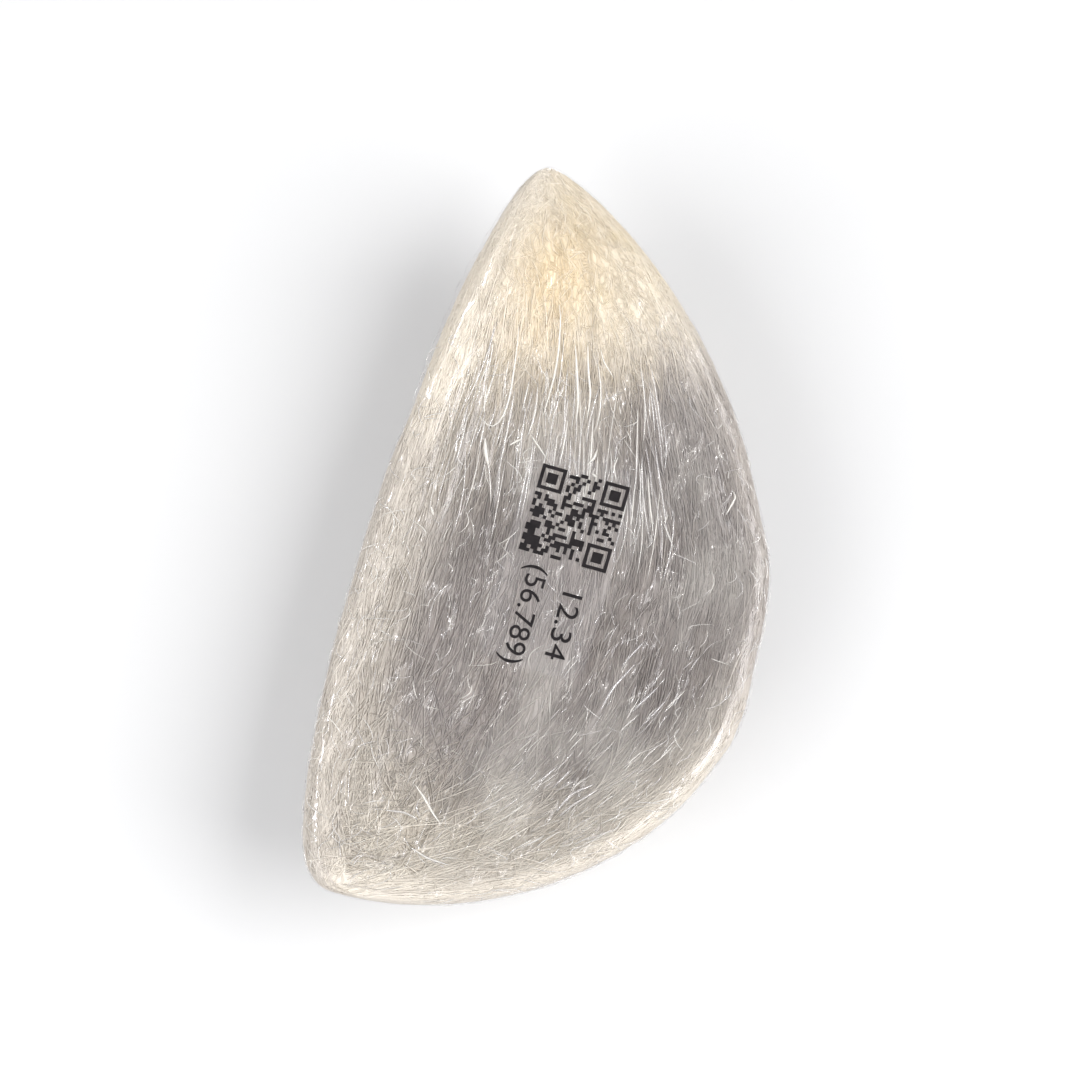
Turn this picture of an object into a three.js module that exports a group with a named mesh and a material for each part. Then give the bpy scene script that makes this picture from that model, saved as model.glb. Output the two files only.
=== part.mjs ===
// Edible bird's nest: one dried half cup of swiftlet strands, shrink-wrapped in clear film, with a clear
// weight label on the film over the mouth.
// Millimetres, +Z up. +X runs to the pointed foot, +Y to the straight side that grew on the wall.
// The origin is the middle of the small flat on which the wrapped nest rests.
import * as THREE from "three";
import { ParametricGeometry } from "three/addons/geometries/ParametricGeometry.js";

// The nest's plan. Each side of it, and its keel line, is a power curve between the two feet.
const nestLength = 110;
const frontRim = { reach: 48.4, tipPower: 0.75, endPower: 0.55 };
const backRim = { reach: 10.8, tipPower: 0.5, endPower: 0.35 };
const keel = { reach: 24, tipPower: 0.46, endPower: 0.44 };
const keelShare = 0.43; // place of the keel between the back rim, 0, and the front rim, 1
const backSquareness = 0.8; // below 1 the wall side stands steeper than an ellipse
const tipLift = 5; // the pointed foot curls up from the rim's level
const endLift = 2;
const flatCut = 0.8; // how deep the resting flat is pressed into the keel

// The lip that runs round the mouth, the solid foot and the hollow between them.
const lip = { height: 2.6, run: 3.4, fullWidth: 24 };
const footCrown = { height: 2, x: 39, spread: 12 };
const hollow = { depth: 20.5, x: -11, halfLength: 39, backBand: 5.5, frontBand: 3.2 };
const hollowForm = { slant: 0.22, power: 0.75, ease: 0.14 }; // slant: the foot reaches further in at the back

// Strands laid side by side from foot to foot stand out as low ridges.
const ridge = { height: 0.42, outside: 9, inside: 7, sway: 1.9, wander: 0.8, second: 0.5 };
const rimWaver = { share: 0.009, waves: 9, drift: 1.3 };

// The film stands clear of the ridges, and its vent is at the blunt end.
const film = { gap: 0.95, thickness: 0.35, dip: 2.2, vent: -0.998 };
const label = { gap: 0.3, thickness: 0.3 };
const weightLabel = { length: 32, width: 16, x: -1, y: -17 };

const nestMesh = { along: 60, around: 48 };
const filmMesh = { along: 26, around: 32 };
const crowding = 0.78; // share of the mesh lines' spacing that closes up at the ends

// 1 at the fullest place, 0 at both feet, on a line from the blunt end, -1, to the tip, 1.
function hump(s, { tipPower, endPower }) {
  const peak = fullest({ tipPower, endPower });
  return ((1 - s) / (1 - peak)) ** tipPower * ((1 + s) / (1 + peak)) ** endPower;
}

function fullest({ tipPower, endPower }) {
  return (endPower - tipPower) / (endPower + tipPower);
}

// The sizes of the cross-section at s, grown outwards by a film's distance.
function section(s, grow) {
  const waver = 1 + rimWaver.share * Math.sin(rimWaver.waves * s + rimWaver.drift * Math.sin(4 * s));
  const back = (backRim.reach * waver + grow) * hump(s, backRim);
  const front = -(frontRim.reach * waver + grow) * hump(s, frontRim);
  return {
    x: s * (nestLength / 2 + grow),
    back,
    front,
    width: back - front,
    keel: back - keelShare * (back - front),
    depth: (keel.reach + grow) * hump(s, keel),
    lift: tipLift * Math.max(s, 0) ** 2 + endLift * Math.max(-s, 0) ** 2,
  };
}

const restShare = fullest(keel);
const restFloor = -(keel.reach - flatCut + film.gap + film.thickness);
const restPoint = new THREE.Vector3(section(restShare, 0).x, section(restShare, 0).keel, restFloor);

// The outside of the cup at s: turn 0 is the back rim, 0.5 the keel and 1 the front rim.
function belly(s, turn, grow, relief) {
  const cut = section(s, grow);
  const angle = Math.PI * turn;
  const onBack = turn < 0.5;
  const power = onBack ? backSquareness : 1;
  const reach = onBack ? cut.back - cut.keel : cut.keel - cut.front;
  const cosine = Math.cos(angle);
  const swell = 1 + (relief * ridgeAt(s, turn, ridge.outside)) / keel.reach;
  const across = Math.sign(cosine) * Math.abs(cosine) ** power * reach * swell;
  const down = cut.depth * Math.abs(Math.sin(angle)) ** power * swell;
  const floor = flatCut - keel.reach - grow;
  return new THREE.Vector3(cut.x, cut.keel + across, Math.max(cut.lift - down, floor));
}

// Low ridges that run from foot to foot and die out at the rims and the feet.
function ridgeAt(s, turn, count) {
  const bend = ridge.sway * Math.sin(2.3 * s) + ridge.wander * Math.sin(7 * s + 3 * turn);
  const phase = 2 * Math.PI * count * turn + bend;
  const fade = Math.sin(Math.PI * turn) * (1 - s * s);
  return fade * (Math.sin(phase) + ridge.second * Math.sin(1.7 * phase + 5 * s));
}

// The lip's quarter round: nothing at either rim and 1 inside the lip. At the feet it runs to the middle.
function lipRound(width, share) {
  const inward = (Math.min(share, 1 - share) * Math.max(width, lip.fullWidth)) / lip.run;
  return Math.sqrt(1 - (1 - Math.min(inward, 1)) ** 2);
}

function slimness(width) {
  return Math.min(1, width / lip.fullWidth);
}

// Height of the rim and foot at s: share 0 is the front rim and 1 the back rim.
function brim(s, share, grow) {
  const cut = section(s, grow);
  const slim = slimness(cut.width);
  const swell = footCrown.height * Math.exp(-(((cut.x - footCrown.x) / footCrown.spread) ** 2));
  const rise = lip.height * slim + grow * Math.min(1, cut.width / lip.run);
  return cut.lift + rise * lipRound(cut.width, share) + slim * swell * 4 * share * (1 - share);
}

// Depth of the hollow below the brim, an eased power of a paraboloid.
function hollowAt(s, share) {
  const cut = section(s, 0);
  const middle = cut.width * (1 - keelShare);
  const offset = share * cut.width - middle;
  const backReach = Math.max(cut.width - hollow.backBand - middle, 1);
  const frontReach = Math.max(middle - hollow.frontBand, 1);
  const along = (cut.x - hollow.x + hollowForm.slant * offset) / hollow.halfLength;
  const across = offset / (offset > 0 ? backReach : frontReach);
  const fade = slimness(cut.width) * lipRound(cut.width, share);
  return hollow.depth * bowl(along) * bowl(across) * fade;
}

// 1 in the middle, eased to nothing from an edge at 1 outwards.
function bowl(distance) {
  const inside = 1 - Math.min(distance ** 2, 4);
  return ((inside + Math.hypot(inside, hollowForm.ease)) / 2) ** hollowForm.power;
}

function cupTop(s, share) {
  return brim(s, share, 0) - hollowAt(s, share) + ridge.height * ridgeAt(s, share, ridge.inside);
}

// The film's height over the mouth: drawn tight from rim to rim, and lying on the nest where it touches.
function filmTop(s, share, grow) {
  const spanned = brim(s, share, grow) - film.dip * 4 * share * (1 - share) * (1 - s * s);
  return Math.max(spanned, brim(s, share, grow) - hollowAt(s, share));
}

// Places from 1 to -1, drawn closer together towards both ends.
function station(v) {
  return crowding * Math.cos(Math.PI * v) + (1 - crowding) * (1 - 2 * v);
}

// One point of a closed cross-section: round 0 to 0.5 is the belly and 0.5 to 1 the top.
function loopPoint(s, round, grow, relief, topHeight) {
  const turn = 2 * (round % 1);
  if (turn <= 1) return belly(s, turn, grow, relief).sub(restPoint);
  const cut = section(s, grow);
  const share = (1 - station(turn - 1)) / 2;
  const y = cut.front + share * cut.width;
  return new THREE.Vector3(cut.x, y, topHeight(s, share)).sub(restPoint);
}

function nestGeometry() {
  const point = (u, v, target) => {
    target.copy(loopPoint(station(v), u, 0, ridge.height, cupTop));
  };
  return new ParametricGeometry(point, nestMesh.around, nestMesh.along);
}

// A bag with one vent: its outer skin runs from the tip to the vent, and its inner skin runs back.
function filmGeometry() {
  const steps = filmMesh.along;
  const point = (u, v, target) => {
    const ring = Math.round(v * (2 * steps + 1));
    const outer = ring <= steps;
    const along = outer ? ring / steps : (2 * steps + 1 - ring) / steps;
    const s = 1 - ((1 - station(along)) / 2) * (1 - film.vent);
    const grow = film.gap + (outer ? film.thickness : 0);
    target.copy(loopPoint(s, u, grow, 0, (at, share) => filmTop(at, share, grow)));
  };
  return new ParametricGeometry(point, filmMesh.around, 2 * steps + 1);
}

// Bends a flat sheet, drawn in X and Y with its thickness in Z, onto a surface given as a function.
function layOn(flat, surface) {
  const geometry = flat.clone();
  const position = geometry.getAttribute("position");
  const point = new THREE.Vector3();
  for (let i = 0; i < position.count; i++) {
    point.fromBufferAttribute(position, i);
    position.setXYZ(i, ...surface(point.x, point.y, point.z).toArray());
  }
  geometry.computeVertexNormals();
  return geometry;
}

function weightLabelGeometry() {
  const outside = film.gap + film.thickness;
  const flat = new THREE.BoxGeometry(weightLabel.length, weightLabel.width, label.thickness, 10, 6, 1);
  flat.translate(weightLabel.x, weightLabel.y, label.gap + label.thickness / 2);
  return layOn(flat, (x, y, height) => {
    const s = x / (nestLength / 2 + outside);
    const cut = section(s, outside);
    const z = filmTop(s, (y - cut.front) / cut.width, outside);
    return new THREE.Vector3(x, y, z + height).sub(restPoint);
  });
}

function piece(name, geometry, look) {
  const mesh = new THREE.Mesh(geometry, new THREE.MeshStandardMaterial(look));
  mesh.name = name;
  return mesh;
}

const wrappedNest = new THREE.Group();
wrappedNest.add(
  piece("nest", nestGeometry(), { color: 0xdfd1ba, roughness: 0.7, metalness: 0 }),
  piece("film_wrap", filmGeometry(), {
    color: 0xf4f4f6,
    roughness: 0.12,
    metalness: 0,
    transparent: true,
    opacity: 0.25,
  }),
  piece("weight_label", weightLabelGeometry(), {
    color: 0xe6e6ea,
    roughness: 0.3,
    metalness: 0,
    transparent: true,
    opacity: 0.4,
  }),
);

export default wrappedNest;
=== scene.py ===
import math

import bpy
import numpy as np
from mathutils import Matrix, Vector


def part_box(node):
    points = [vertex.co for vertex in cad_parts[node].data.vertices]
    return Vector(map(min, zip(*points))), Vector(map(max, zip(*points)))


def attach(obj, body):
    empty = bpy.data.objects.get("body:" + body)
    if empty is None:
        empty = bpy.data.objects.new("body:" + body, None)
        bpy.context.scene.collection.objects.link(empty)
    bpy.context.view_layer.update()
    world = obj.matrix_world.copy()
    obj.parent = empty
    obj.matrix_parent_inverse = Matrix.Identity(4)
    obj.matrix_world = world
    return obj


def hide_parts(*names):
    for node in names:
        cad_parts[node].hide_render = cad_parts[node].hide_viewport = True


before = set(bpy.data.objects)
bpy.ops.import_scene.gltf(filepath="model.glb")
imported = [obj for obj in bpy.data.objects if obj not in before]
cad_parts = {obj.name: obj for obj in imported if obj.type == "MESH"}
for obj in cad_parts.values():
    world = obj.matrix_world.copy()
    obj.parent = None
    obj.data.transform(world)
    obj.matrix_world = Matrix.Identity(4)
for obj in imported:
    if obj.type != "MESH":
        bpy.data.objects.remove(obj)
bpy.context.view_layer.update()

print("frame loaded")

# The nest's driving sizes, in millimetres. s runs along the nest from the blunt foot, -1, to the tip, 1.
# around runs across it: 0 to 0.5 is the belly from the back rim to the front rim, and 0.5 to 1 the top.
cup = dict(
    length=110.0,
    frontReach=48.4, frontPowers=(0.75, 0.55),
    backReach=10.8, backPowers=(0.5, 0.35),
    keelDepth=24.0, keelPowers=(0.46, 0.44), keelShare=0.43,
    backSquareness=0.8,  # below 1 the wall side stands steeper than an ellipse
    tipLift=5.0, endLift=2.0,
    nestFloor=-23.2, filmFloor=-24.18,  # height of the flat underneath, from the rim's level
    lipHeight=2.6, lipRun=3.4, lipWidth=24.0,
    crownHeight=2.0, crownPlace=39.0, crownSpread=12.0,
    hollowDepth=20.5, hollowPlace=-11.0, hollowHalf=39.0, hollowSlant=0.22,
    backBand=5.5, frontBand=3.2, hollowPower=0.75, hollowEase=0.14,
    ridgeHeight=0.42, ridgesOutside=9, ridgesInside=7,
    ridgeSway=1.9, ridgeWander=0.8, ridgeSecond=0.5,
    rimWaver=0.009, rimWaves=9, rimDrift=1.3,
)


# hump(s) = ((1 - s) / (1 - p))^tip * ((1 + s) / (1 + p))^end, which is 1 at p = (end - tip) / (end + tip).
def hump(s, powers):
    tip, end = powers
    peak = (end - tip) / (end + tip)
    s = np.clip(s, -1, 1)
    return ((1 - s) / (1 - peak)) ** tip * ((1 + s) / (1 + peak)) ** end


# Each rim is its reach times its hump, a little wavering. The keel lies between them.
def section(s, grow):
    waver = 1 + cup["rimWaver"] * np.sin(cup["rimWaves"] * s + cup["rimDrift"] * np.sin(4 * s))
    back = (cup["backReach"] * waver + grow) * hump(s, cup["backPowers"])
    front = -(cup["frontReach"] * waver + grow) * hump(s, cup["frontPowers"])
    return dict(
        x=s * (cup["length"] / 2 + grow),
        back=back,
        front=front,
        width=back - front,
        keel=back - cup["keelShare"] * (back - front),
        depth=(cup["keelDepth"] + grow) * hump(s, cup["keelPowers"]),
        lift=cup["tipLift"] * np.maximum(s, 0) ** 2 + cup["endLift"] * np.maximum(-s, 0) ** 2,
    )


# ridge = sin(pi t) (1 - s^2) (sin(p) + k sin(1.7 p + 5 s)), with p = 2 pi n t and a slow bend along s.
def ridgeAt(s, turn, count):
    bend = cup["ridgeSway"] * np.sin(2.3 * s) + cup["ridgeWander"] * np.sin(7 * s + 3 * turn)
    phase = 2 * np.pi * count * turn + bend
    fade = np.sin(np.pi * turn) * (1 - s * s)
    return fade * (np.sin(phase) + cup["ridgeSecond"] * np.sin(1.7 * phase + 5 * s))


# Quarter circle sqrt(1 - (1 - d)^2), with d the distance in from the nearer rim over the lip's run.
def lipRound(width, share):
    inward = np.minimum(share, 1 - share) * np.maximum(width, cup["lipWidth"]) / cup["lipRun"]
    return np.sqrt(1 - (1 - np.minimum(inward, 1)) ** 2)


# Rim height: lift + lip * quarter circle + a crown 4 q (1 - q) exp(-((x - place) / spread)^2) over the foot.
def brim(s, share, grow):
    cut = section(s, grow)
    slim = np.minimum(1, cut["width"] / cup["lipWidth"])
    swell = cup["crownHeight"] * np.exp(-(((cut["x"] - cup["crownPlace"]) / cup["crownSpread"]) ** 2))
    rise = cup["lipHeight"] * slim + grow * np.minimum(1, cut["width"] / cup["lipRun"])
    return cut["lift"] + rise * lipRound(cut["width"], share) + slim * swell * 4 * share * (1 - share)


# bowl(d) = ((i + sqrt(i^2 + e^2)) / 2)^p with i = 1 - d^2: 1 in the middle, eased to nothing past d = 1.
def bowl(distance):
    inside = 1 - np.minimum(distance ** 2, 4)
    return ((inside + np.hypot(inside, cup["hollowEase"])) / 2) ** cup["hollowPower"]


# Depth of the hollow = depth * bowl(along) * bowl(across), slanted: the foot reaches further in at the back.
def hollowAt(s, share):
    cut = section(s, 0)
    middle = cut["width"] * (1 - cup["keelShare"])
    offset = share * cut["width"] - middle
    backReach = np.maximum(cut["width"] - cup["backBand"] - middle, 1)
    frontReach = np.maximum(middle - cup["frontBand"], 1)
    along = (cut["x"] - cup["hollowPlace"] + cup["hollowSlant"] * offset) / cup["hollowHalf"]
    across = offset / np.where(offset > 0, backReach, frontReach)
    fade = np.minimum(1, cut["width"] / cup["lipWidth"]) * lipRound(cut["width"], share)
    return cup["hollowDepth"] * bowl(along) * bowl(across) * fade


# Belly: (x, keel + reach cos(pi t), lift - depth sin(pi t)), steeper on the wall side, flat at the floor.
def belly(s, turn, grow, relief, floor):
    cut = section(s, grow)
    cosine, sine = np.cos(np.pi * turn), np.abs(np.sin(np.pi * turn))
    onBack = turn < 0.5
    power = np.where(onBack, cup["backSquareness"], 1.0)
    reach = np.where(onBack, cut["back"] - cut["keel"], cut["keel"] - cut["front"])
    swell = 1 + relief * ridgeAt(s, turn, cup["ridgesOutside"]) / cup["keelDepth"]
    across = np.sign(cosine) * np.abs(cosine) ** power * reach * swell
    height = np.maximum(cut["lift"] - cut["depth"] * sine ** power * swell, floor)
    return cut["x"] + 0 * turn, cut["keel"] + across, height


# Share of the way over the top = (1 - cos(pi (turn - 1))) / 2: 0 at the front rim and 1 at the back rim.
def topShare(turn):
    return (1 - np.cos(np.pi * np.clip(turn - 1, 0, 1))) / 2


# The closed cross-section at s: the belly, then the top with y from rim to rim and its height as given.
def loopPoint(s, around, grow, relief, floor, topHeight):
    s, around = np.broadcast_arrays(s, around)
    turn = 2 * np.mod(around, 1)
    x, y, z = belly(s, np.clip(turn, 0, 1), grow, relief, floor)
    cut = section(s, grow)
    share = topShare(turn)
    onTop = turn > 1
    y = np.where(onTop, cut["front"] + share * cut["width"], y)
    z = np.where(onTop, topHeight(s, share), z)
    return np.stack([x, y, z], axis=-1)


# Top of the nest: brim - hollow + ridges.
def cupTop(s, share):
    ridges = cup["ridgeHeight"] * ridgeAt(s, share, cup["ridgesInside"])
    return brim(s, share, 0) - hollowAt(s, share) + ridges


def nestSkin(s, around):
    return loopPoint(s, around, 0, cup["ridgeHeight"], cup["nestFloor"], cupTop)


# The frame sets the scale and the place: the tip, the back rim and the underside lie where the solid's do.
nestLow, nestHigh = (np.array(corner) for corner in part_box("nest"))
sampleSteps = 241
sample = nestSkin(np.linspace(-1, 1, sampleSteps)[:, None], np.linspace(0, 1, sampleSteps)[None, :])
millimetre = (nestHigh[0] - nestLow[0]) / cup["length"]
place = np.array([
    nestHigh[0] / millimetre - sample[..., 0].max(),
    nestHigh[1] / millimetre - sample[..., 1].max(),
    nestLow[2] / millimetre - sample[..., 2].min(),
])


# Unit normal, (dP/ds) x (dP/da), by central differences.
def normalAt(skin, s, around, step=1e-3):
    alongS = skin(np.minimum(s + step, 1), around) - skin(np.maximum(s - step, -1), around)
    alongA = skin(s, around + step) - skin(s, around - step)
    normal = np.cross(alongS, alongA)
    return normal / (np.linalg.norm(normal, axis=-1, keepdims=True) + 1e-9)


# Smooth noise from a table of random numbers, blended with 3t^2 - 2t^3. It repeats around the loop.
def grainNoise(s, around, cells, seed):
    rows, columns = cells
    table = np.random.default_rng(seed).uniform(-1, 1, (rows + 2, columns))
    u = np.clip((s + 1) / 2, 0, 1) * rows
    v = np.mod(around, 1) * columns
    row, column = np.floor(u).astype(int), np.floor(v).astype(int) % columns
    easeU, easeV = (t * t * (3 - 2 * t) for t in (u - row, v - np.floor(v)))
    after = (column + 1) % columns
    low = table[row, column] * (1 - easeV) + table[row, after] * easeV
    high = table[row + 1, column] * (1 - easeV) + table[row + 1, after] * easeV
    return low * (1 - easeU) + high * easeU


# Faces of rings of equal size between two poles: quads (i, j), (i + 1, j), (i + 1, j + 1), (i, j + 1).
def loftFaces(rings, size, flip=False):
    first = 1 + np.arange(rings - 1)[:, None] * size + np.arange(size)[None, :]
    beside = 1 + np.arange(rings - 1)[:, None] * size + (np.arange(size)[None, :] + 1) % size
    quads = np.stack([first, first + size, beside + size, beside], axis=-1).reshape(-1, 4)
    j = np.arange(size)
    after = (j + 1) % size
    last = 1 + (rings - 1) * size
    startFan = np.stack([0 * j, 1 + j, 1 + after], axis=-1)
    endFan = np.stack([0 * j + last + size, last + after, last + j], axis=-1)
    triangles = np.concatenate([startFan, endFan])
    return (quads[:, ::-1], triangles[:, ::-1]) if flip else (quads, triangles)


# Points in millimetres, faces and values by point go into a mesh whose object sits at the origin.
def makePiece(name, points, quads, triangles, values=None):
    mesh = bpy.data.meshes.new(name)
    mesh.vertices.add(len(points))
    mesh.vertices.foreach_set("co", ((points + place) * millimetre).astype(np.float32).ravel())
    corners = np.concatenate([quads.ravel(), triangles.ravel()]).astype(np.int32)
    mesh.loops.add(len(corners))
    mesh.loops.foreach_set("vertex_index", corners)
    starts = np.concatenate([
        4 * np.arange(len(quads)),
        4 * len(quads) + 3 * np.arange(len(triangles)),
    ]).astype(np.int32)
    mesh.polygons.add(len(starts))
    mesh.polygons.foreach_set("loop_start", starts)
    mesh.polygons.foreach_set("use_smooth", np.ones(len(starts), dtype=bool))
    for key, value in (values or {}).items():
        layer = mesh.attributes.new(key, "FLOAT", "POINT")
        layer.data.foreach_set("value", np.asarray(value, dtype=np.float32).ravel())
    mesh.update(calc_edges=True)
    piece = bpy.data.objects.new(name, mesh)
    bpy.context.scene.collection.objects.link(piece)
    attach(piece, "root")
    print(name, len(quads) * 2 + len(triangles), "triangles")
    return piece


# 1 deep in the hollow and 0 on the rim, the feet and the belly.
def hollowShare(s, around):
    turn = 2 * np.mod(around, 1)
    return np.where(turn > 1, hollowAt(s, topShare(turn)) / cup["hollowDepth"], 0)


# Eased step 3t^2 - 2t^3, with t from 0 at start to 1 at stop.
def easedStep(value, start, stop):
    t = np.clip((value - start) / (stop - start), 0, 1)
    return t * t * (3 - 2 * t)


# Colour zones. foot: the solid foot is creamier, whiter by its back, and warmest round a spot.
# Its whiter back is partly a paler colour, partly painted light on that side of the foot.
# grey: a share of the hollow's depth, with more along the front rim and some on the belly. In the hollow
# and on the belly it is the nest's lilac grey and partly painted shade; on the hollow's back wall and
# blunt end it is held back, painted light on their shade.
zones = dict(
    # The foot whitens towards its back: partly a paler colour, partly painted light on that side.
    foot=(0.28, 0.62), footLean=0.45, footWhiteAndLight=0.7, whiteShare=(0.5, 0.85),
    warmPlace=(38.5, -5.0), warmSpread=(9.0, 6.0),
    # Hollow and belly grey: partly painted shade. Paling at the hollow's back and blunt end: painted light.
    hollowGreyAndShade=1.35, greyFrom=0.04, backWallLight=0.3, backShare=(0.78, 0.95), backFrom=(0.45, 0.0),
    bluntEndLight=0.5, bluntFrom=(-0.4, -0.8),
    frontGrey=0.85, frontShare=(0.5, 0.16), bluntEnd=(0.0, -0.5), bluntFade=0.8,
    backGrey=0.42, bandShare=(0.7, 0.92), bellyShade=0.4,
)


# foot = eased step in s, warm = exp(-(dx / wide)^2 - (dy / wide)^2), grey = hollow + both rims + belly;
# the hollow and belly terms are partly painted shade.
def zoneValues(s, around, tone):
    s, around = np.broadcast_arrays(s, around)
    turn = 2 * np.mod(around, 1)
    share = topShare(turn)
    across = np.where(turn > 1, share, 1 - turn)
    foot = easedStep(s + zones["footLean"] * (across - 0.5), *zones["foot"])
    nearFront = np.where(turn > 1, easedStep(share, *zones["frontShare"]), easedStep(turn, 0.5, 1))
    front = zones["frontGrey"] * nearFront * (1 - zones["bluntFade"] * easedStep(s, *zones["bluntEnd"]))
    nearBack = np.where(turn > 1, easedStep(share, *zones["bandShare"]), easedStep(turn, 0.5, 0))
    rims = (front + zones["backGrey"] * nearBack) * (1 - foot)
    # Painted shade: greyer under the belly, most at its bottom.
    under = zones["bellyShade"] * np.sin(np.pi * np.clip(turn, 0, 1))
    # Painted light: the grey fades out up the hollow's back wall and towards its blunt end, lifting their
    # shade.
    atBack = zones["backWallLight"] * easedStep(share, *zones["backShare"]) * easedStep(s, *zones["backFrom"])
    pale = zones["greyFrom"] + atBack + zones["bluntEndLight"] * easedStep(s, *zones["bluntFrom"])
    # Grey with the hollow's depth: partly the nest's lilac grey, partly painted shade in the recess.
    hollow = np.clip(zones["hollowGreyAndShade"] * hollowShare(s, around) - pale, 0, 1)
    point = nestSkin(s, around)
    fromWarm = (point[..., :2] - zones["warmPlace"]) / zones["warmSpread"]
    warm = np.exp(-(fromWarm ** 2).sum(axis=-1)) * (turn > 1)
    # Whiter towards the back of the foot: partly a paler colour, partly painted light on that side.
    foot = foot * (1 - zones["footWhiteAndLight"] * easedStep(across, *zones["whiteShare"]))
    return dict(foot=foot, warm=warm, greyAndShade=np.clip(hollow + rims + under, 0, 1), tone=tone)


# The felted body. Its fibres are drawn out along the nest: few noise cells along, many around.
# The drift bends them, and the tone makes them lighter and darker.
feltBody = dict(
    rings=326, columns=288,
    driftCells=(9, 8), driftSeed=11, drift=0.012,
    lumpCells=(11, 12), lumpSeed=12, lumpHeight=0.2,
    fibreCells=(34, 120), fibreSeed=13, fibreHeight=0.11,
    hairCells=(60, 144), hairSeed=14, hairHeight=0.05,
    toneCells=(40, 130), toneSeed=15, tone=0.4, toneSpread=0.3,
)


# Lumps = height * grain noise * (1 - s^2)^(1/2), so that they fade out at both feet.
def lumpsAt(s, around):
    lumps = feltBody["lumpHeight"] * grainNoise(s, around, feltBody["lumpCells"], feltBody["lumpSeed"])
    return lumps * np.sqrt(np.clip(1 - s * s, 0, 1))


# Height of the felt = lumps + (fibres + hairs) (1 - s^2)^(1/2), the fibres and hairs grain noise too.
def feltHeight(s, around):
    felt = feltBody
    drifted = around + felt["drift"] * grainNoise(s, around, felt["driftCells"], felt["driftSeed"])
    fibres = felt["fibreHeight"] * grainNoise(s, drifted, felt["fibreCells"], felt["fibreSeed"])
    hairs = felt["hairHeight"] * grainNoise(s, drifted, felt["hairCells"], felt["hairSeed"])
    return lumpsAt(s, around) + (fibres + hairs) * np.sqrt(np.clip(1 - s * s, 0, 1))


# The felted surface and its smooth normal: P + N * height.
def feltSkin(s, around):
    base = nestSkin(s, around)
    normal = normalAt(nestSkin, s, around)
    return base + normal * feltHeight(s, around)[..., None], normal


# Rings at s = cos(pi t), which lie closer towards both feet, with columns at even steps around.
def makeFeltBody():
    felt = feltBody
    s = np.cos(np.pi * np.linspace(1, 0, felt["rings"] + 2))[1:-1, None]
    around = (np.arange(felt["columns"]) / felt["columns"])[None, :]
    s, around = np.broadcast_arrays(s, around)
    points, normal = feltSkin(s, around)
    poles = nestSkin(np.array([-1.0, 1.0]), np.array([0.0, 0.0]))
    allPoints = np.concatenate([poles[:1], points.reshape(-1, 3), poles[1:]])
    tone = felt["tone"] + felt["toneSpread"] * grainNoise(s, around, felt["toneCells"], felt["toneSeed"])
    values = {
        key: np.concatenate([value.ravel()[:1], value.ravel(), value.ravel()[-1:]])
        for key, value in zoneValues(s, around, tone).items()
    }
    quads, triangles = loftFaces(felt["rings"], felt["columns"])
    body = makePiece("nest_felt", allPoints, quads, triangles, values)
    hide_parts("nest")
    return body


# Strands: each is a flat three-sided tube that rises from a skin, runs along it and dips back in.
# reach is its place in s and region its place around. length, radius and rise are ranges in millimetres.
# turn is the spread of its angle to the nest's length in degrees, and tangle adds to it at the blunt end.
# lean, where it is given, is the middle of that angle.
strandSets = dict(
    hollow_strands=dict(
        count=6400, seed=21, region=(0.55, 0.95), reach=(-0.96, 0.6), length=(6, 22), radius=(0.06, 0.16),
        turn=9, tangle=26, bow=0.25, rise=(0.0, 0.25),
    ),
    back_rim_strands=dict(
        count=4800, seed=22, region=(0.9, 1.14), reach=(-0.999, 0.96), length=(6, 18), radius=(0.06, 0.14),
        turn=8, tangle=12, bow=0.2, rise=(0.0, 0.14),
    ),
    front_rim_strands=dict(
        count=6000, seed=23, region=(0.38, 0.63), reach=(-0.999, 0.96), length=(6, 18), radius=(0.06, 0.14),
        turn=8, tangle=12, bow=0.2, rise=(0.0, 0.14),
    ),
    foot_strands=dict(
        count=6400, seed=24, region=(0.5, 1.0), reach=(0.3, 0.99), length=(1.5, 7), radius=(0.05, 0.12),
        turn=38, tangle=0, bow=0.5, rise=(0.0, 0.14),
    ),
    belly_strands=dict(
        count=5600, seed=25, region=(0.04, 0.46), reach=(-0.999, 0.99), length=(7, 22), radius=(0.07, 0.17),
        turn=12, tangle=12, bow=0.25, rise=(0.0, 0.16),
    ),
    tip_strands=dict(
        count=1200, seed=26, region=(0.0, 1.0), reach=(0.86, 0.9985), length=(2, 6), radius=(0.06, 0.12),
        turn=48, tangle=0, bow=0.5, rise=(0.0, 0.12),
    ),
)
strandShape = dict(
    rings=5, flatness=0.62, sink=0.9, taper=0.45,
    narrowest=12, tangleFrom=-0.3, tangleTo=-0.8, farthest=0.9995, placeSteps=600,
)


# Random places between two ends along the nest, as dense as its width times the front rim's arc length.
def placesAlong(generator, count, reach):
    grid = np.cos(np.linspace(np.arccos(reach[0]), np.arccos(reach[1]), strandShape["placeSteps"]))
    cut = section(grid, 0)
    area = cut["width"] * np.hypot(np.gradient(cut["x"]), np.gradient(cut["front"]))
    total = np.cumsum(area)
    return np.interp(generator.random(count), total / total[-1], grid)


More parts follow.
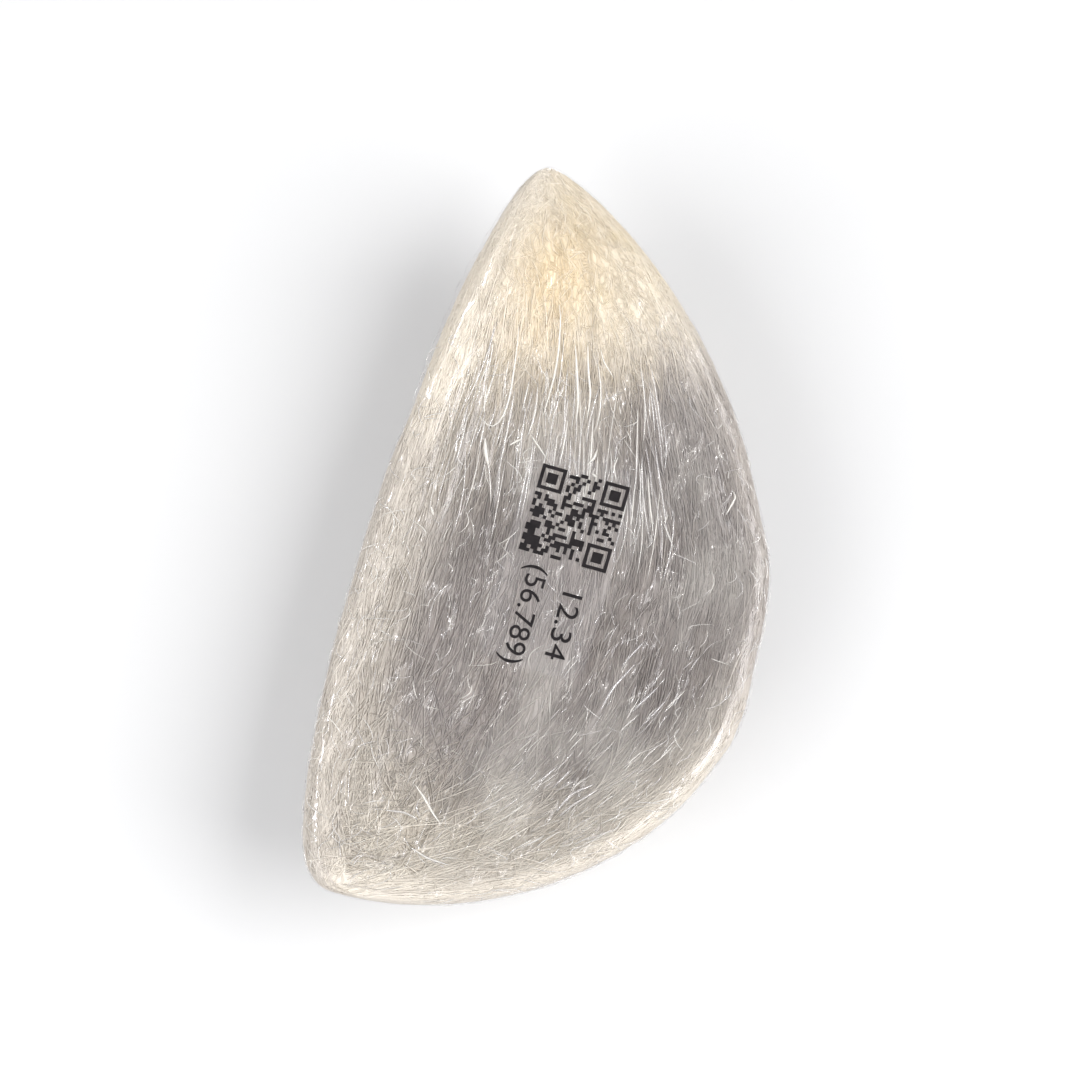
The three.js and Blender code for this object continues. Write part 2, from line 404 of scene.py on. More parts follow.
# Flat three-sided tubes between pointed ends: centre + thickness (cos a beside + flatness sin a normal).
def sweepTubes(centre, normal, thickness):
    count, rings = thickness.shape
    tangent = np.gradient(centre, axis=1)
    beside = np.cross(normal, tangent)
    beside /= np.linalg.norm(beside, axis=-1, keepdims=True) + 1e-9
    angle = np.radians([90, 210, 330])[None, None, :, None]
    ring = centre[:, 1:-1, None, :] + thickness[:, :, None, None] * (
        np.cos(angle) * beside[:, 1:-1, None, :]
        + strandShape["flatness"] * np.sin(angle) * normal[:, 1:-1, None, :]
    )
    points = np.concatenate([centre[:, :1], ring.reshape(count, -1, 3), centre[:, -1:]], axis=1)
    quads, triangles = loftFaces(rings, 3, flip=True)
    offset = (np.arange(count) * points.shape[1])[:, None, None]
    return points, (quads[None] + offset).reshape(-1, 4), (triangles[None] + offset).reshape(-1, 3)


# Centre line: start + arc length along a heading, bowed by k q^2, lifted by rise sin(pi t) - sink.
def layStrands(name, wanted, skin, eachValue):
    generator = np.random.default_rng(wanted["seed"])
    shape, count = strandShape, wanted["count"]

    def uniform(key):
        return generator.uniform(*wanted[key], (count, 1))

    s0 = placesAlong(generator, count, wanted["reach"])[:, None]
    around0, length, radius, rise = (uniform(key) for key in ("region", "length", "radius", "rise"))
    tangle = np.clip((shape["tangleFrom"] - s0) / (shape["tangleFrom"] - shape["tangleTo"]), 0, 1)
    spread = wanted["turn"] + wanted["tangle"] * tangle
    heading = np.radians(wanted.get("lean", 0) + generator.normal(0, 1, (count, 1)) * spread)
    bow = generator.normal(0, wanted["bow"], (count, 1)) / length
    tone = generator.random((count, 1))

    step = 1e-3
    alongS = skin(np.minimum(s0 + step, 1), around0)[0] - skin(np.maximum(s0 - step, -1), around0)[0]
    alongA = skin(s0, around0 + step)[0] - skin(s0, around0 - step)[0]
    speedS = np.linalg.norm(alongS, axis=-1) / (2 * step)
    speedA = np.maximum(np.linalg.norm(alongA, axis=-1) / (2 * step), shape["narrowest"])
    t = np.linspace(0, 1, shape["rings"] + 2)[None, :]
    run = (t - 0.5) * length
    s = np.clip(s0 + np.cos(heading) * run / speedS, -shape["farthest"], shape["farthest"])
    around = around0 + (np.sin(heading) * run + bow * run ** 2) / speedA

    base, normal = skin(s, around)
    arch = np.sin(np.pi * t)
    centre = base + normal * (rise * arch + radius * (arch - shape["sink"]))[..., None]
    points, quads, triangles = sweepTubes(centre, normal, (radius * arch ** shape["taper"])[:, 1:-1])
    values = {
        key: np.repeat(value, points.shape[1], axis=1)
        for key, value in eachValue(s0, around0, tone).items()
    }
    return makePiece(name, points.reshape(-1, 3), quads, triangles, values)


# Clear film: one closed skin just outside the strands, tight over the mouth, with small crumples and folds.
filmSkin = dict(
    rings=376, bellyColumns=56, topColumns=206,
    grow=0.42, dip=2.2,
    foldCount=60, foldSeed=31, foldHeight=(0.03, 0.2), foldWidth=(0.3, 0.6),
    foldLanes=(0.1, 0.92), foldFrom=(0.3, 0.56), foldTo=(-0.2, 0.24), foldWander=0.02,
    crumpleCells=(110, 110), crumpleSeed=33, crumpleHeight=0.05,
    rippleCells=(38, 30), rippleSeed=34, rippleHeight=0.1,
    backClear=0.7, backShare=(0.55, 0.8),  # the film is clearer over the hollow's back
    flare=0.8, flarePlace=0.6, flareSpan=0.24, flareWidth=0.035,
    flareCells=(70, 6), flareSeed=35, flareCrinkle=0.25,
    liftOff=3,  # how soon the film leaves the nest's lumps where the hollow starts
    footFade=8,  # how soon the wrinkles start away from the feet
)


# The higher of the span, brim - 4 dip q (1 - q) (1 - s^2), and of the nest, brim - hollow.
def filmHeight(s, share):
    rim = brim(s, share, filmSkin["grow"])
    spanned = rim - filmSkin["dip"] * 4 * share * (1 - share) * (1 - s * s)
    return np.maximum(spanned, rim - hollowAt(s, share))


# Tension folds: the sum of h exp(-((y - lane) / w)^2) over lanes that start at the foot and fade out.
def tensionFolds(s, share):
    generator = np.random.default_rng(filmSkin["foldSeed"])
    count = filmSkin["foldCount"]
    keys = ("foldHeight", "foldWidth", "foldLanes", "foldFrom", "foldTo")
    height, width, lane, start, stop = (generator.uniform(*filmSkin[key], count) for key in keys)
    wander = generator.normal(0, filmSkin["foldWander"], count)
    s, share = s[..., None], share[..., None]
    across = section(s, 0)["width"] * (share - lane - wander * np.sin(4 * s))
    fade = np.sin(np.pi * np.clip((s - stop) / (start - stop), 0, 1)) ** 1.5
    return (height * np.exp(-((across / width) ** 2)) * fade).sum(axis=-1)


def filmBase(s, around):
    return loopPoint(s, around, filmSkin["grow"], 0, cup["filmFloor"], filmHeight)


# Where the film stands off the back rim by the foot: flare exp(-((s - p) / l)^2 - (d / w)^2), crinkled.
def flareAt(s, around):
    wanted = filmSkin
    off = np.abs(np.mod(around + 0.5, 1) - 0.5) / wanted["flareWidth"]
    along = (s - wanted["flarePlace"]) / wanted["flareSpan"]
    crinkle = grainNoise(s, around, wanted["flareCells"], wanted["flareSeed"])
    crinkle = 1 - wanted["flareCrinkle"] + wanted["flareCrinkle"] * crinkle
    return wanted["flare"] * crinkle * np.exp(-along ** 2 - off ** 2)


# The film without its crumples = base + N (lumps, where it lies on the nest, + flare), and its normal.
def smoothFilm(s, around):
    normal = normalAt(filmBase, s, around)
    touching = 1 - np.clip(filmSkin["liftOff"] * hollowShare(s, around), 0, 1)
    height = lumpsAt(s, around) * touching + flareAt(s, around)
    return filmBase(s, around) + normal * height[..., None], normal


# Film = smooth film + N (folds + crumples |noise| + ripples noise), fading out at both feet.
# span tells how far it stands off the nest over the hollow, and side is 1 under the nest's belly.
def makeFilm():
    wanted = filmSkin
    bellyAround = np.arange(wanted["bellyColumns"]) / wanted["bellyColumns"] / 2
    topAround = 0.5 + np.arange(wanted["topColumns"]) / wanted["topColumns"] / 2
    s = np.cos(np.pi * np.linspace(1, 0, wanted["rings"] + 2))[1:-1, None]
    s, around = np.broadcast_arrays(s, np.concatenate([bellyAround, topAround])[None, :])
    share = topShare(2 * around)
    points, normal = smoothFilm(s, around)
    folds = tensionFolds(s, share) * (around > 0.5) * lipRound(cup["lipWidth"], share)
    crumples = grainNoise(s, around, wanted["crumpleCells"], wanted["crumpleSeed"])
    crumples = wanted["crumpleHeight"] * np.abs(crumples)
    ripples = wanted["rippleHeight"] * grainNoise(s, around, wanted["rippleCells"], wanted["rippleSeed"])
    height = (folds + crumples + ripples) * np.clip((1 - s * s) * wanted["footFade"], 0, 1)
    poles = smoothFilm(np.array([-1.0, 1.0]), np.array([0.0, 0.0]))[0]
    allPoints = np.concatenate([poles[:1], (points + normal * height[..., None]).reshape(-1, 3), poles[1:]])
    gap = np.where(around > 0.5, filmHeight(s, share) - cupTop(s, share), 0)
    clearer = 1 - wanted["backClear"] * easedStep(share, *wanted["backShare"])
    span = np.clip(gap / filmLook["veilGap"], 0, 1) * clearer
    side = np.sin(2 * np.pi * np.clip(around, 0, 0.5))
    quads, triangles = loftFaces(wanted["rings"], around.shape[1])
    values = dict(
        span=np.concatenate([[0], span.ravel(), [0]]),
        side=np.concatenate([[0], side.ravel(), [0]]),
    )
    film = makePiece("film_skin", allPoints, quads, triangles, values)
    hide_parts("film_wrap")
    return film


# Sharp creases of the film: slim ridges of the same film, pulled off the foot's edge or lying at random.
# They are given and laid as the strands are.
creaseSets = dict(
    pulled_creases=dict(
        count=120, seed=51, region=(0.67, 0.89), reach=(0.08, 0.46), length=(4, 17), radius=(0.05, 0.17),
        turn=5, tangle=0, bow=0.12, rise=(0.02, 0.1),
    ),
    small_creases=dict(
        count=900, seed=52, region=(0.46, 1.04), reach=(-0.95, 0.5), length=(0.8, 5), radius=(0.03, 0.1),
        turn=38, tangle=0, bow=0.9, rise=(0.0, 0.1),
    ),
    side_creases=dict(
        count=900, seed=53, region=(0.02, 0.48), reach=(-0.95, 0.6), length=(0.8, 7), radius=(0.03, 0.1),
        turn=40, tangle=0, bow=0.9, rise=(0.0, 0.1),
    ),
    leaning_creases=dict(
        count=110, seed=54, region=(0.6, 0.74), reach=(-0.75, -0.12), length=(1.5, 5), radius=(0.04, 0.11),
        turn=8, tangle=0, lean=-14, bow=0.15, rise=(0.0, 0.1),
    ),
)


faintestGlint = 0.35


# How white a crease is drawn, a painted highlight for its glint = faintest + (1 - faintest) tone.
def creaseValues(s, around, tone):
    return dict(creaseGlint=faintestGlint + (1 - faintestGlint) * tone)


# Point over the mouth: z = film height at (x, y) + height.
def overMouth(x, y, height):
    s = x / (cup["length"] / 2 + filmSkin["grow"])
    cut = section(s, filmSkin["grow"])
    z = filmHeight(s, (y - cut["front"]) / cut["width"]) + height
    return np.stack(np.broadcast_arrays(x, y, z), axis=-1)


# Creases that stand out: how wide each is, how white it is drawn (a painted highlight for its glint),
# and its points (x, y) over the mouth.
drawnCreases = dict(
    rings=14, rise=0.42, sink=0.05, smoothing=2, archPower=0.5, taper=0.7,
    lines=(
        (0.2, 1.0, [(31.4, -1.8), (28.0, -2.5), (20.6, -3.5), (17.1, -3.4), (15.0, -2.2), (17.3, 0.6)]),
        (0.2, 1.0, [(35.8, -6.5), (33.9, -7.4), (29.0, -8.5), (25.3, -8.9), (21.4, -8.9), (18.6, -8.8)]),
        (0.24, 1.0, [(30.9, -10.4), (27.3, -11.7), (22.6, -13.3), (19.3, -13.8)]),
        (0.22, 1.0, [(31.4, -12.2), (27.7, -13.3), (24.2, -14.7), (20.4, -15.2)]),
        (0.14, 1.0, [(31.0, -14.2), (29.2, -15.2), (27.4, -17.3)]),
        (0.4, 1.0, [(14.2, -1.6), (12.1, -2.3), (10.0, -3.4)]),
        (0.14, 0.8, [(11.5, -2.6), (10.0, -3.4), (7.2, -4.5), (4.8, -5.2)]),
        (0.16, 1.0, [(16.4, -7.8), (13.6, -11.1)]),
        (0.24, 1.0, [(15.5, -6.9), (13.9, -5.3)]),
        (0.26, 1.0, [(17.1, -17.8), (15.5, -17.7), (14.3, -16.9)]),
        (0.16, 1.0, [(16.9, -21.0), (15.1, -20.8), (13.0, -21.8)]),
        (0.24, 1.0, [(13.4, -17.9), (12.9, -18.9)]),
        (0.2, 1.0, [(16.2, -38.3), (15.3, -39.0), (12.4, -38.3)]),
        (0.16, 0.8, [(9.2, -29.9), (6.0, -32.3)]),
        (0.22, 1.0, [(-37.3, -6.1), (-39.1, -8.3), (-41.0, -10.2), (-42.2, -11.8)]),
        (0.2, 0.7, [(-42.3, -3.2), (-41.8, -6.1), (-42.2, -8.3)]),
        (0.2, 0.8, [(-46.3, -8.1), (-47.2, -11.1), (-47.3, -14.4)]),
        (0.3, 0.35, [(-11.6, -31.8), (-16.4, -29.4), (-20.5, -28.6)]),
        (0.3, 0.4, [(-30.2, -31.0), (-32.7, -28.0), (-35.9, -26.6)]),
        (0.24, 0.4, [(-30.8, -31.7), (-34.0, -28.8), (-36.4, -27.1)]),
        (0.24, 0.35, [(-29.1, -27.1), (-32.7, -25.2)]),
        (0.24, 0.35, [(-29.0, -25.2), (-32.7, -22.9)]),
        (0.24, 0.35, [(-8.0, -32.2), (-12.8, -29.8)]),
        (0.3, 0.35, [(-14.1, -35.8), (-19.0, -33.0)]),
        (0.24, 0.35, [(-15.5, -37.5), (-20.2, -35.2)]),
        (0.24, 1.0, [(2.2, 3.1), (0.8, 2.2)]),
    ),
)


# Each line passes its points at even chord lengths, is eased by (1, 2, 1) / 4 and swept as a slim tube.
def makeDrawnCreases():
    look = drawnCreases
    t = np.linspace(0, 1, look["rings"] + 2)
    flat = []
    for radius, hazeAndGlint, line in look["lines"]:
        line = np.array(line)
        chord = np.concatenate([[0], np.cumsum(np.hypot(*np.diff(line, axis=0).T))])
        flat.append(np.stack([np.interp(t * chord[-1], chord, line[:, axis]) for axis in (0, 1)], axis=-1))
    flat = np.stack(flat)
    for turn in range(look["smoothing"]):
        flat[:, 1:-1] = (flat[:, :-2] + 2 * flat[:, 1:-1] + flat[:, 2:]) / 4
    arch = np.sin(np.pi * t)[None, :]
    height = look["rise"] * arch ** look["archPower"] - look["sink"]
    centre = overMouth(flat[..., 0], flat[..., 1], height)
    normal = np.broadcast_to([0.0, 0.0, 1.0], centre.shape)
    radius, hazeAndGlint = (np.array([line[i] for line in look["lines"]])[:, None] for i in (0, 1))
    points, quads, triangles = sweepTubes(centre, normal, (radius * arch ** look["taper"])[:, 1:-1])
    values = dict(creaseGlint=np.repeat(hazeAndGlint, points.shape[1], axis=1))
    return makePiece("drawn_creases", points.reshape(-1, 3), quads, triangles, values)


# The clear label: its rounded outline, and the heights of its two faces over the film in millimetres.
clearLabel = dict(
    length=32.0, width=16.0, x=-1.0, y=-17.0, squareness=9, columns=160, rings=16, under=0.5, over=0.56,
)


# Rings out from the middle of the top face and back under it, on |x / a|^n + |y / b|^n = r^n.
def makeLabel():
    angle = np.arange(clearLabel["columns"]) / clearLabel["columns"] * 2 * np.pi
    halfLength, halfWidth, n = clearLabel["length"] / 2, clearLabel["width"] / 2, clearLabel["squareness"]
    reach = (np.abs(np.cos(angle) / halfLength) ** n + np.abs(np.sin(angle) / halfWidth) ** n) ** (-1 / n)
    share = np.arange(1, clearLabel["rings"] + 1) / clearLabel["rings"]
    share = np.concatenate([share, share[::-1]])[:, None]
    height = np.repeat([clearLabel["over"], clearLabel["under"]], clearLabel["rings"])[:, None]
    x = clearLabel["x"] + share * reach * np.cos(angle)
    y = clearLabel["y"] + share * reach * np.sin(angle)
    middle = overMouth(clearLabel["x"], clearLabel["y"], np.array([clearLabel["over"], clearLabel["under"]]))
    points = np.concatenate([middle[:1], overMouth(x, y, height).reshape(-1, 3), middle[1:]])
    quads, triangles = loftFaces(2 * clearLabel["rings"], clearLabel["columns"])
    label = makePiece("clear_label", points, quads, triangles)
    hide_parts("weight_label")
    return label


# Print on the label. It reads towards the blunt foot, with the tops of its figures towards the front rim.
# The square block is a made-up pattern. Each line is given by its text, its start (x, y) and its length.
labelPrint = dict(
    blockX=6.2, blockY=-17.4, blockSize=13.1, modules=25, seed=41, dark=0.5, cornerSize=7,
    lines=[("12.34", -4.6, -18.8, 10.0), ("(56.789)", -2.0, -13.0, 14.8)],
    figureHeight=4.3, thickness=0.03, lineHeight=0.57,
)


# Nested squares in three corners, and elsewhere a module is dark where its random number is low.
def blockPattern():
    count, corner = labelPrint["modules"], labelPrint["cornerSize"]
    dark = np.random.default_rng(labelPrint["seed"]).random((count, count)) < labelPrint["dark"]
    offset = np.abs(np.arange(corner) - corner // 2)
    ring = np.maximum(offset[:, None], offset[None, :])
    nested = (ring == corner // 2) | (ring <= 1)
    for row, column in ((0, 0), (0, count - corner), (count - corner, 0)):
        clearRow = slice(max(row - 1, 0), row + corner + 1)
        clearColumn = slice(max(column - 1, 0), column + corner + 1)
        dark[clearRow, clearColumn] = False
        dark[row:row + corner, column:column + corner] = nested
    return dark


# A grid of points at two heights. A dark module has a top, a bottom, and walls where it meets light ones.
def makeBlock():
    count, half = labelPrint["modules"], labelPrint["blockSize"] / 2
    dark = np.pad(blockPattern()[::-1], 1)
    line = np.linspace(-half, half, count + 1)
    x, y = np.meshgrid(labelPrint["blockX"] + line, labelPrint["blockY"] + line, indexing="ij")
    height = np.array([0, labelPrint["thickness"]])[:, None, None] + labelPrint["lineHeight"]
    points = overMouth(x[None], y[None], height).reshape(-1, 3)
    index = np.arange((count + 1) ** 2).reshape(count + 1, count + 1)
    above = (count + 1) ** 2
    row, column = np.nonzero(dark[1:-1, 1:-1])
    corners = [index[row + a, column + b] for a, b in ((0, 0), (1, 0), (1, 1), (0, 1))]
    faces = [np.stack(corners, axis=-1) + above, np.stack(corners[::-1], axis=-1)]
    for side, (stepRow, stepColumn) in enumerate(((0, -1), (1, 0), (0, 1), (-1, 0))):
        bare = ~dark[row + 1 + stepRow, column + 1 + stepColumn]
        first, second = corners[side][bare], corners[(side + 1) % 4][bare]
        faces.append(np.stack([first, second, second + above, first + above], axis=-1))
    block = makePiece("label_block", points, np.concatenate(faces), np.zeros((0, 3), int))
    block.data.polygons.foreach_set("use_smooth", np.zeros(len(block.data.polygons), dtype=bool))
    return block


# Figures from Blender's own font, made a mesh, stretched to their line's length and laid on the label.
def makeFigures(index, text, startX, startY, length):
    curve = bpy.data.curves.new("figures", "FONT")
    curve.body = text
    curve.extrude = 0.5  # heights from -0.5 to 0.5
    source = bpy.data.objects.new("figures", curve)
    bpy.context.scene.collection.objects.link(source)
    bpy.context.view_layer.update()
    evaluated = source.evaluated_get(bpy.context.evaluated_depsgraph_get())
    mesh = bpy.data.meshes.new_from_object(evaluated)
    bpy.data.objects.remove(source)
    flat = np.zeros(len(mesh.vertices) * 3)
    mesh.vertices.foreach_get("co", flat)
    flat = flat.reshape(-1, 3)
    stretch = length / (flat[:, 0].max() - flat[:, 0].min())
    x = startX - (flat[:, 0] - flat[:, 0].min()) * stretch
    y = startY - flat[:, 1] * labelPrint["figureHeight"]
    height = labelPrint["lineHeight"] + (flat[:, 2] + 0.5) * labelPrint["thickness"]
    laid = (overMouth(x, y, height) + place) * millimetre
    mesh.vertices.foreach_set("co", laid.astype(np.float32).ravel())
    mesh.update()
    figures = bpy.data.objects.new(f"label_figures_{index}", mesh)
    bpy.context.scene.collection.objects.link(figures)
    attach(figures, "root")
    return figures


# A shader value. Its operators add Math nodes, and numbers may stand on either side.
class Wire:
    def __init__(self, finish, socket):
        self.finish = finish
        self.socket = socket

    def calculate(self, operation, first, second):
        return self.finish.node("ShaderNodeMath", dict(operation=operation), {0: first, 1: second})

    def __add__(self, other):
        return self.calculate("ADD", self, other)

    def __sub__(self, other):
        return self.calculate("SUBTRACT", self, other)

    def __rsub__(self, other):
        return self.calculate("SUBTRACT", other, self)

    def __mul__(self, other):
        return self.calculate("MULTIPLY", self, other)

    def __pow__(self, other):
        return self.calculate("POWER", self, other)

    __radd__ = __add__
    __rmul__ = __mul__


# A material. node() adds any node: its settings first, then the values or links of its sockets.
class Finish:
    def __init__(self, name):
        self.material = bpy.data.materials.new(name)
        self.material.use_nodes = True
        self.tree = self.material.node_tree
        self.tree.nodes.clear()

    def node(self, kind, settings, sockets, output=0):
        made = self.tree.nodes.new(kind)
        for key, value in settings.items():
            setattr(made, key, value)
        for key, value in sockets.items():
            if isinstance(value, Wire):
                self.tree.links.new(value.socket, made.inputs[key])
            else:
                made.inputs[key].default_value = value
        return Wire(self, made.outputs[output]) if made.outputs else None

    def attribute(self, name):
        return self.node("ShaderNodeAttribute", dict(attribute_name=name), {}, "Fac")

    def mixColour(self, share, first, second):
        return self.node("ShaderNodeMix", dict(data_type="RGBA"), {0: share, 6: first, 7: second}, 2)

    def limit(self, value):
        return self.node("ShaderNodeClamp", {}, {"Value": value})

    def noise(self, scale, stretch, detail=4.0):
        place = self.node("ShaderNodeTexCoord", {}, {}, "Object")
        drawn = self.node("ShaderNodeMapping", {}, {"Vector": place, "Scale": stretch})
        return self.node("ShaderNodeTexNoise", {}, {"Vector": drawn, "Scale": scale, "Detail": detail})

    def finishWith(self, shader):
        self.node("ShaderNodeOutputMaterial", {}, {"Surface": shader})
        return self.material


# Linear colour from the 0 to 255 values of a picture.
def tint(red, green, blue):
    linear = [((v / 255 + 0.055) / 1.055) ** 2.4 if v > 10 else v / 255 / 12.92 for v in (red, green, blue)]
    return (*linear, 1.0)


strandLook = dict(
    ivory=tint(242, 234, 221), cream=tint(234, 222, 201), honey=tint(239, 218, 180),
    # The lilac grey is the nest's grey tone darkened as painted shade, for the hollow and the belly.
    lilacGreyAndShade=tint(162, 155, 153), shaded=tint(176, 164, 150), toneStrength=0.36, evenFoot=0.45,
    paleFrom=0.62, paleSlope=1.5, paleInGrey=0.45,
    mottled=tint(243, 226, 186), mottleScale=260.0, mottleDetail=2.0,
    mottleFrom=0.5, mottleSlope=3.0, mottleShare=0.45,
    fibreScale=260.0, fibreStretch=(0.12, 1.0, 1.0), fibreDepth=0.00015, fibreStrength=0.5,
    roughness=0.42, roughnessSpread=0.25,
)


# Colour = ivory, to cream by foot, mottled there, to honey by warm, to lilac grey by grey, and to shaded
# by 1 - tone. The foot's whiter back is partly painted light; the lilac grey is partly painted shade in
# the hollow and under the belly. The palest strands, with a tone above a limit, stay nearer to ivory
# wherever they lie.
def strandColour(finish):
    look = strandLook
    tone, greyAndShade, foot, warm = (finish.attribute(name) for name in ("tone", "greyAndShade", "foot", "warm"))
    blotch = finish.noise(look["mottleScale"], (1, 1, 1), look["mottleDetail"])
    blotch = finish.limit((blotch - look["mottleFrom"]) * look["mottleSlope"]) * foot * look["mottleShare"]
    colour = finish.mixColour(foot, look["ivory"], look["cream"])
    colour = finish.mixColour(blotch, colour, look["mottled"])
    colour = finish.mixColour(warm, colour, look["honey"])
    colour = finish.mixColour(greyAndShade, colour, look["lilacGreyAndShade"])
    shade = (1 - tone) * (1 - look["evenFoot"] * foot) * look["toneStrength"]
    colour = finish.mixColour(finish.limit(shade), colour, look["shaded"])
    pale = finish.limit((tone - look["paleFrom"]) * look["paleSlope"]) * (1 - look["paleInGrey"] * greyAndShade)
    return finish.mixColour(pale, colour, look["ivory"])


# The felted body: matted fibres, drawn out along the nest, give the bump and the sheen.
def feltMaterial():
    look = strandLook
    finish = Finish("matted fibres")
    fibre = finish.noise(look["fibreScale"], look["fibreStretch"])
    bump = finish.node("ShaderNodeBump", {}, {
        "Height": fibre, "Strength": look["fibreStrength"], "Distance": look["fibreDepth"],
    })
    shader = finish.node("ShaderNodeBsdfPrincipled", {}, {
        "Base Color": strandColour(finish),
        "Roughness": finish.limit(look["roughness"] + look["roughnessSpread"] * fibre),
        "Normal": bump,
    })
    return finish.finishWith(shader)


# Single strands: smooth, dried to a satin gloss.
def strandMaterial():
    finish = Finish("dried strands")
    shader = finish.node("ShaderNodeBsdfPrincipled", {}, {
        "Base Color": strandColour(finish),
        "Roughness": strandLook["roughness"],
    })
    return finish.finishWith(shader)


# clear, edge, crease, veil, cloudShare and side are shares of gloss: of the film where it faces the eye,
# at grazing angles, on a crease, over the hollow, on its milky patches and on the belly's sides.
# On a crease the share is drawn white: a painted highlight for its glint.
# veilGap: the film looks fully veiled where it stands this far off the nest, in millimetres.
filmLook = dict(
    # The milky white serves the film's haze and, on the creases, a painted highlight for their glints.
    tone=tint(240, 238, 243), hazeAndGlintWhite=tint(255, 252, 245), clear=0.03, edge=0.3, edgePower=4, creaseGlint=0.6,
    veil=0.01, veilGap=6.0, roughness=0.14,
    cloudScale=110.0, cloudStretch=(0.55, 1.0, 1.0), cloudDetail=3.0,
    cloudContrast=2.2, cloudFrom=0.8, cloudShare=0.14, cloudMilk=2, side=0.07,
    wrinkleScale=420.0, wrinkleStretch=(0.45, 1.0, 1.0), wrinkleFrom=0.58, wrinkleDepth=0.0035,
    wrinkleDetail=2.0, wrinkleStrength=0.7,
)


# See-through mixed by share with a mirror gloss, which is white instead where the film is milky:
# on its haze, and on its creases, where the white is a painted highlight for their glints.
def mixFilm(finish, share, hazeAndGlint, surface):
    look = filmLook
    gloss = finish.node("ShaderNodeBsdfPrincipled", {}, {
        "Base Color": finish.mixColour(hazeAndGlint, look["tone"], look["hazeAndGlintWhite"]),
        "Roughness": look["roughness"],
        "Metallic": finish.limit(1 - hazeAndGlint),
        **surface,
    })
    clear = finish.node("ShaderNodeBsdfTransparent", {}, {"Color": (1.0, 1.0, 1.0, 1.0)})
    return finish.finishWith(finish.node("ShaderNodeMixShader", {}, {0: share, 1: clear, 2: gloss}))


# Share of gloss of plain film = clear + edge * facing^power, facing being 1 at grazing angles.
def plainShare(finish):
    facing = finish.node("ShaderNodeLayerWeight", {}, {"Blend": 0.5}, "Facing")
    return filmLook["clear"] + filmLook["edge"] * facing ** filmLook["edgePower"]


# Broad film, with milky clouds over the hollow and small wrinkles that break its gloss.
def filmMaterial():
    look = filmLook
    finish = Finish("clear film")
    wrinkle = finish.noise(look["wrinkleScale"], look["wrinkleStretch"], look["wrinkleDetail"])
    wrinkle = finish.limit(wrinkle - look["wrinkleFrom"])
    span = finish.attribute("span")
    cloud = finish.noise(look["cloudScale"], look["cloudStretch"], look["cloudDetail"])
    cloud = finish.limit(cloud * look["cloudContrast"] - look["cloudFrom"]) * span
    share = plainShare(finish) + look["side"] * finish.attribute("side")
    share = finish.limit(share + look["veil"] * span + look["cloudShare"] * cloud)
    bump = finish.node("ShaderNodeBump", {}, {
        "Height": wrinkle, "Strength": look["wrinkleStrength"], "Distance": look["wrinkleDepth"],
    })
    return mixFilm(finish, share, finish.limit(look["cloudMilk"] * cloud), {"Normal": bump})


# Creases: the same film, drawn white as its crease value says: a painted highlight for their glints.
def creaseMaterial():
    finish = Finish("creased film")
    creaseGlint = finish.attribute("creaseGlint")
    share = finish.limit(plainShare(finish) + filmLook["creaseGlint"] * creaseGlint)
    return mixFilm(finish, share, creaseGlint, {})


labelLook = dict(tone=tint(226, 224, 230), share=0.025, roughness=0.15)


# Clear label: a thin even film with a slightly milky gloss.
def labelMaterial():
    look = labelLook
    finish = Finish("clear label")
    gloss = finish.node("ShaderNodeBsdfPrincipled", {}, {
        "Base Color": look["tone"],
        "Roughness": look["roughness"],
    })
    clear = finish.node("ShaderNodeBsdfTransparent", {}, {"Color": (1.0, 1.0, 1.0, 1.0)})
    return finish.finishWith(finish.node("ShaderNodeMixShader", {}, {0: look["share"], 1: clear, 2: gloss}))


printLook = dict(
    dark=tint(16, 13, 15), worn=tint(46, 41, 43), grain=900.0, grainDetail=2.0,
    wearSlope=1.2, wearFrom=0.3,
    roughness=0.75, specular=0.2,
)


# Thermal print: near black and slightly uneven.
def printMaterial():
    look = printLook
    finish = Finish("black print")
    grain = finish.noise(look["grain"], (1, 1, 1), look["grainDetail"])
    wear = finish.limit(grain * look["wearSlope"] - look["wearFrom"])
    shader = finish.node("ShaderNodeBsdfPrincipled", {}, {
        "Base Color": finish.mixColour(wear, look["dark"], look["worn"]),
        "Roughness": look["roughness"],
        "Specular IOR Level": look["specular"],
    })
    return finish.finishWith(shader)


floorLook = dict(tone=tint(228, 228, 228), roughness=0.9, size=6)


def floorMaterial():
    finish = Finish("pale floor")
    shader = finish.node("ShaderNodeBsdfPrincipled", {}, {
        "Base Color": floorLook["tone"],
        "Roughness": floorLook["roughness"],
    })
    return finish.finishWith(shader)


# The camera looks down on the nest, with the tip at the top of the picture and a little to the right.
view = dict(
    elevation=78.0, pictureUp=(0.961, 0.277), distance=0.5, lens=114.0, target=(0.0042, 0.0013, 0.02),
)


def makeCamera():
    elevation = math.radians(view["elevation"])
    back = Vector((
        -math.cos(elevation) * view["pictureUp"][0],
        -math.cos(elevation) * view["pictureUp"][1],
        math.sin(elevation),
    ))
    camera = bpy.data.objects.new("camera", bpy.data.cameras.new("camera"))
    camera.data.lens = view["lens"]
    camera.location = Vector(view["target"]) + back * view["distance"]
    camera.rotation_mode = "QUATERNION"
    camera.rotation_quaternion = (-back).to_track_quat("-Z", "Y")
    bpy.context.scene.collection.objects.link(camera)
    bpy.context.scene.camera = camera


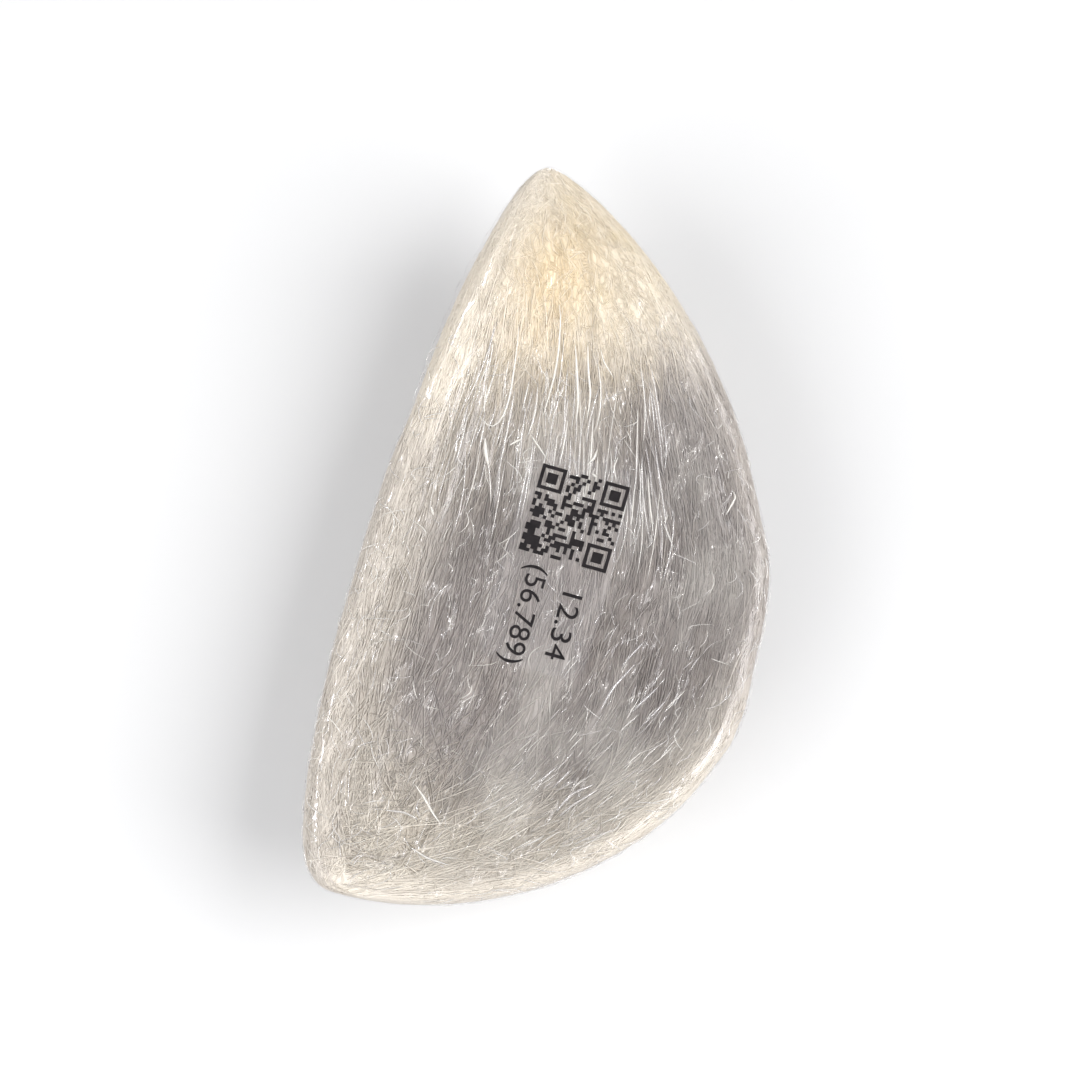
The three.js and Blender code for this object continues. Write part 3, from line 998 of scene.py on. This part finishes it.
# Lights: where each stands, the side of its square in metres and its power in watts.
# The three small ones are only seen as glints in the film.
studio = dict(
    key=dict(place=(0.05, -0.48, 0.58), size=0.6, power=5.6),
    fill=dict(place=(-0.4, 0.38, 0.5), size=0.7, power=4.3),
    sparkLeft=dict(place=(0.05, 0.44, 0.58), size=0.05, power=1.0),
    sparkTop=dict(place=(0.55, 0.1, 0.45), size=0.05, power=0.5),
    sparkRight=dict(place=(0.0, -0.4, 0.6), size=0.05, power=0.8),
)
glintSize = 0.1  # a light up to this size lights no matt surface
surroundings = dict(colour=(0.95, 0.96, 1.0, 1.0), strength=0.38)


def makeLights():
    for name, wanted in studio.items():
        light = bpy.data.objects.new(name, bpy.data.lights.new(name, "AREA"))
        light.data.size = wanted["size"]
        light.data.energy = wanted["power"]
        light.location = wanted["place"]
        light.visible_diffuse = wanted["size"] > glintSize
        light.rotation_mode = "QUATERNION"
        light.rotation_quaternion = (-Vector(wanted["place"])).to_track_quat("-Z", "Y")
        bpy.context.scene.collection.objects.link(light)
    world = bpy.data.worlds.new("studio")
    world.use_nodes = True
    background = world.node_tree.nodes["Background"]
    background.inputs["Color"].default_value = surroundings["colour"]
    background.inputs["Strength"].default_value = surroundings["strength"]
    bpy.context.scene.world = world


def makeFloor():
    bpy.ops.mesh.primitive_plane_add(size=floorLook["size"])
    floor = bpy.context.object
    floor.name = "floor"
    floor.data.materials.append(floorMaterial())


def dress(piece, material):
    piece.data.materials.clear()
    piece.data.materials.append(material)


dress(makeFeltBody(), feltMaterial())
driedStrands = strandMaterial()
for name, wanted in strandSets.items():
    dress(layStrands(name, wanted, feltSkin, zoneValues), driedStrands)
print("nest made")
dress(makeFilm(), filmMaterial())
creasedFilm = creaseMaterial()
for name, wanted in creaseSets.items():
    dress(layStrands(name, wanted, smoothFilm, creaseValues), creasedFilm)
dress(makeDrawnCreases(), creasedFilm)
print("film made")
dress(makeLabel(), labelMaterial())
blackPrint = printMaterial()
dress(makeBlock(), blackPrint)
for index, (text, startX, startY, length) in enumerate(labelPrint["lines"], 1):
    dress(makeFigures(index, text, startX, startY, length), blackPrint)
print("label made")
makeFloor()
makeCamera()
makeLights()
bpy.context.scene.view_settings.view_transform = "Standard"
print("studio made")
